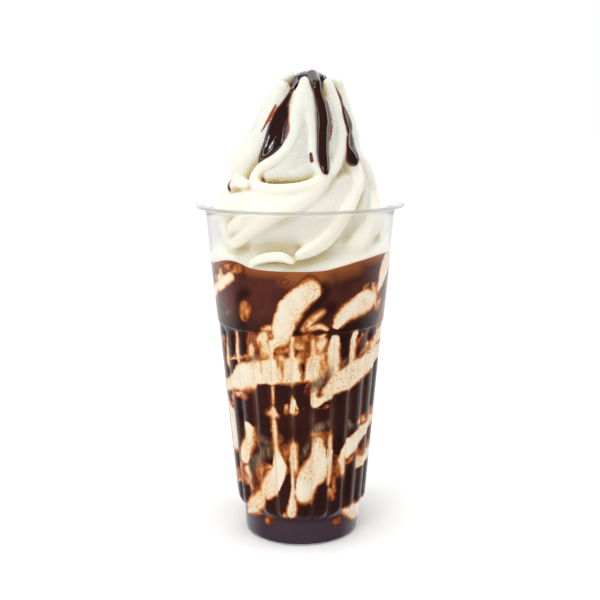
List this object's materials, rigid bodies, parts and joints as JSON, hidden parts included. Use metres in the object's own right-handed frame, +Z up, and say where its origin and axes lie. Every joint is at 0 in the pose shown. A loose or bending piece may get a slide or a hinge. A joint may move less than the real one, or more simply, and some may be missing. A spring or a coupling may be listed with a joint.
{
  "type": "soft-serve sundae in a cup",
  "caption": "Soft-serve sundae in a clear fluted plastic cup: ice cream marbled with chocolate sauce below, a tall piped swirl with thick chocolate drizzle above the rim.",
  "frame": {"origin": "centre of the cup's foot, on the surface the cup stands on", "axes": "+Z up, -Y towards the front that the picture shows, +X to the right"},
  "size_m": [0.095, 0.095, 0.214],
  "materials": {
    "clear_plastic": "thin clear moulded plastic, glossy, with a slight haze",
    "marbled_filling": "dark chocolate sauce pressed against the wall, streaked with pale ice cream, orange brown where the sauce is thin",
    "ice_cream": "soft-serve vanilla ice cream, smooth with fine pores, a little moist",
    "chocolate_sauce": "thick chocolate sauce, wet and glossy, orange brown at its thin edges"
  },
  "bodies": {
    "root": {"cup": "clear_plastic", "marbled_filling": "marbled_filling", "soft_serve": "ice_cream"}
  },
  "joints": []
}
